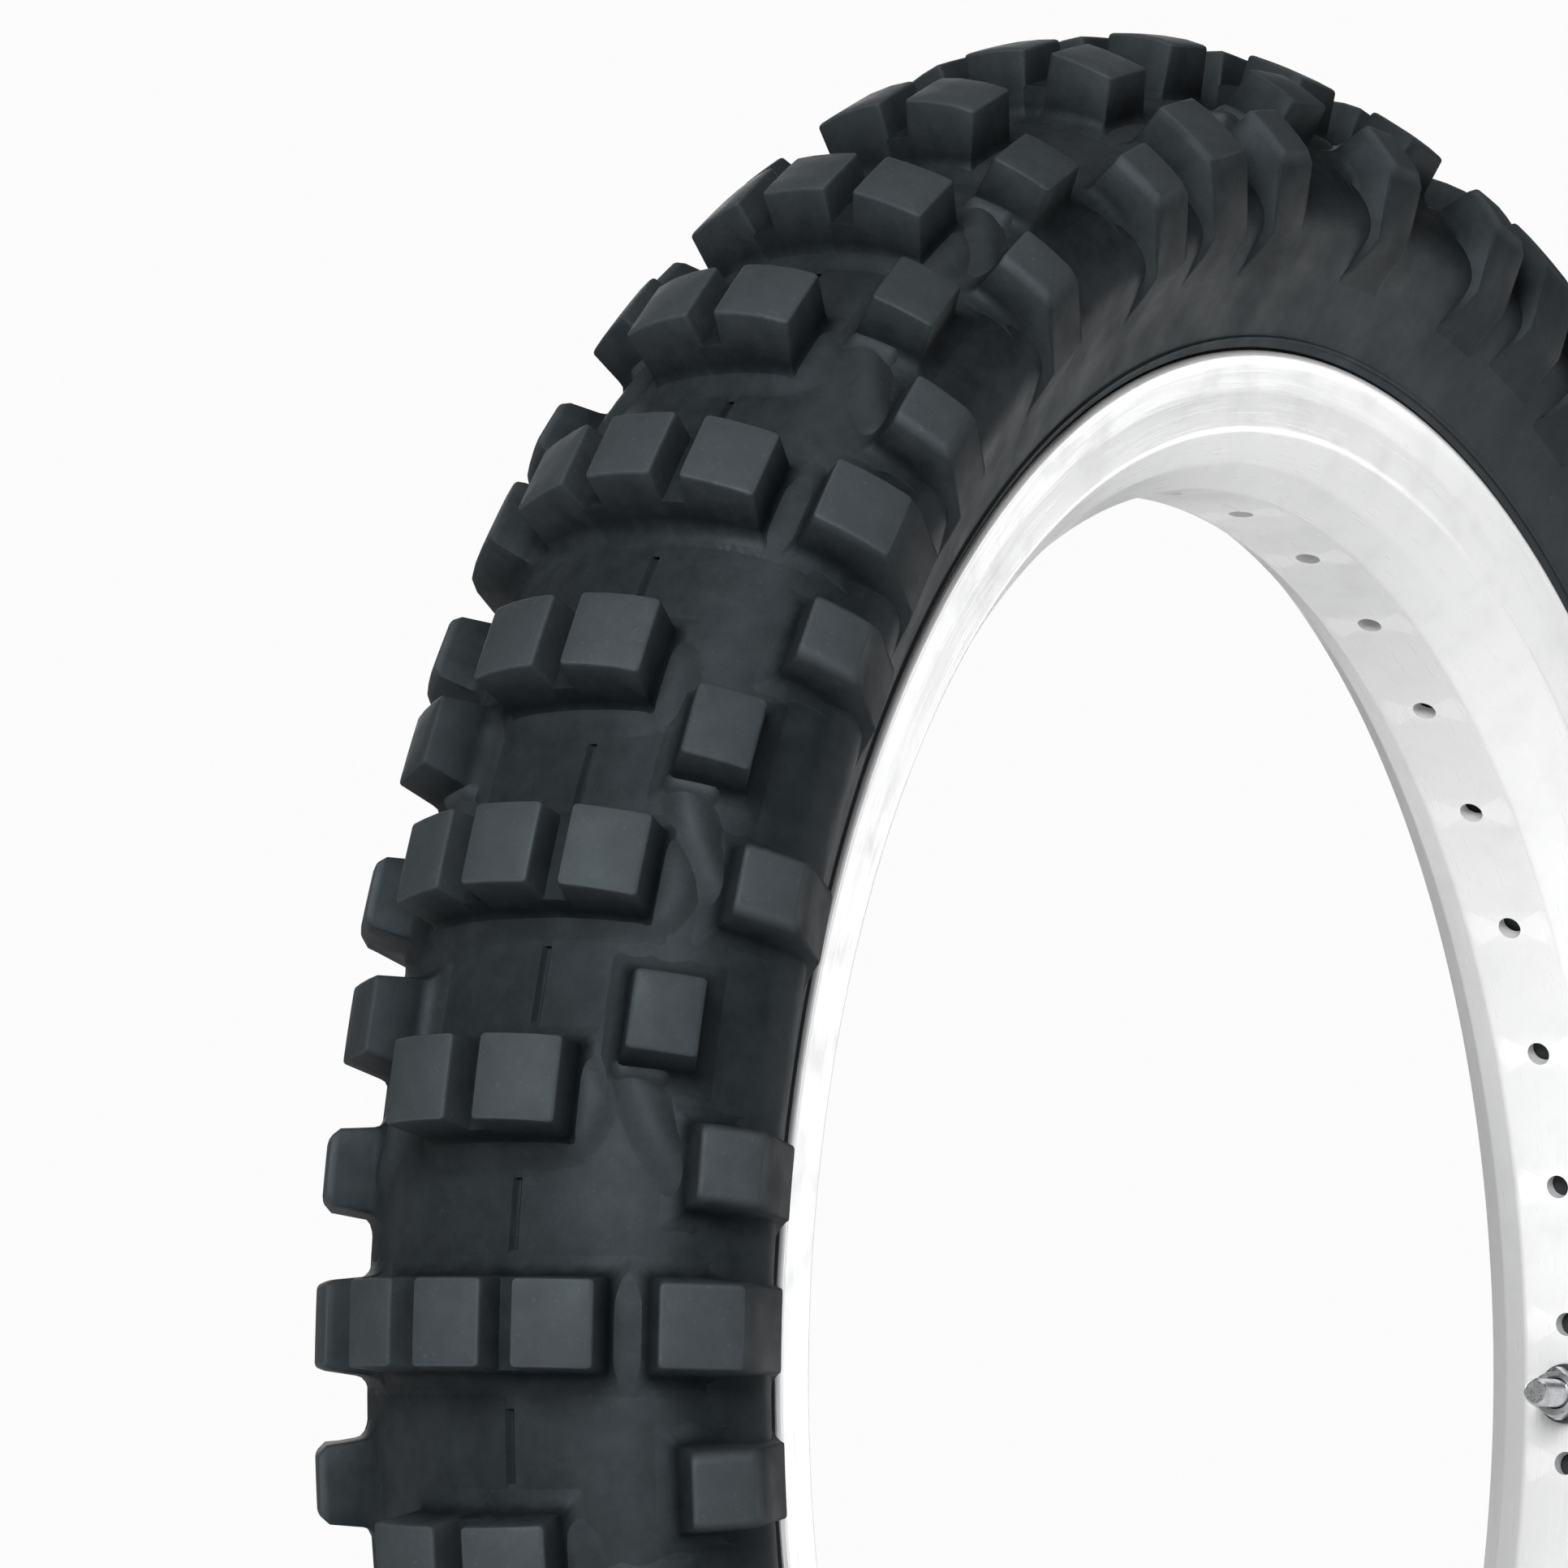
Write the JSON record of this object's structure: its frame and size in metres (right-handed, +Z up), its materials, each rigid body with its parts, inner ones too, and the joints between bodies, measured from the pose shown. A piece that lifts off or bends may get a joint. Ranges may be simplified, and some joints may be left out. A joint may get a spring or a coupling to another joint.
{
  "type": "motorcycle tyre on rim",
  "caption": "Off-road motorcycle tyre with block tread and side knobs, mounted with inner tube, valve and rim lock on a light alloy rim.",
  "frame": {"origin": "centre of the wheel, on its axis and in the mid-plane of the tyre", "axes": "+Y along the wheel axis, +Z up, +X towards one end of the tyre's side view"},
  "size_m": [0.683, 0.1152, 0.683],
  "materials": {
    "tyre_rubber": "matte moulded rubber",
    "inner_rubber": "matte",
    "tube_rubber": "satin, talc dusted",
    "cord_fabric": "rubber-coated cord",
    "bead_steel": "bronze coated wire",
    "rim_alloy": "bright anodised",
    "valve_brass": "machined",
    "plated_steel": "zinc plated",
    "black_plastic": "moulded"
  },
  "bodies": {
    "wheel": {"tread": "tyre_rubber", "sidewall_left": "tyre_rubber", "sidewall_right": "tyre_rubber", "breaker_ply": "cord_fabric", "body_ply_outer": "cord_fabric", "body_ply_inner": "cord_fabric", "inner_liner": "inner_rubber", "bead_core_left": "bead_steel", "bead_core_right": "bead_steel", "bead_filler_left": "inner_rubber", "bead_filler_right": "inner_rubber", "chafer_left": "cord_fabric", "chafer_right": "cord_fabric", "rim": "rim_alloy", "rim_strip": "inner_rubber", "inner_tube": "tube_rubber", "valve_stem": "valve_brass", "valve_washer": "plated_steel", "valve_core": "valve_brass", "lock_shoe": "inner_rubber", "lock_stud": "plated_steel", "lock_washer": "black_plastic"},
    "pin": {"valve_pin": "valve_brass"},
    "cap": {"valve_cap": "black_plastic"},
    "stem_nut": {"valve_nut": "valve_brass"},
    "stud_nut": {"lock_nut": "plated_steel"}
  },
  "joints": [
    {"name": "valve_pin_press", "type": "slide", "parent": "wheel", "child": "pin", "axis": [0, 0, -1], "range_m": [0, 0.0012], "stiffness_N_per_m": 400},
    {"name": "valve_cap_unscrew", "type": "slide", "parent": "wheel", "child": "cap", "axis": [0, 0, 1], "range_m": [0, 0.02]},
    {"name": "valve_nut_run", "type": "slide", "parent": "wheel", "child": "stem_nut", "axis": [0, 0, 1], "range_m": [0, 0.011]},
    {"name": "lock_nut_run", "type": "slide", "parent": "wheel", "child": "stud_nut", "axis": [-1, 0, 0], "range_m": [0, 0.012]}
  ]
}
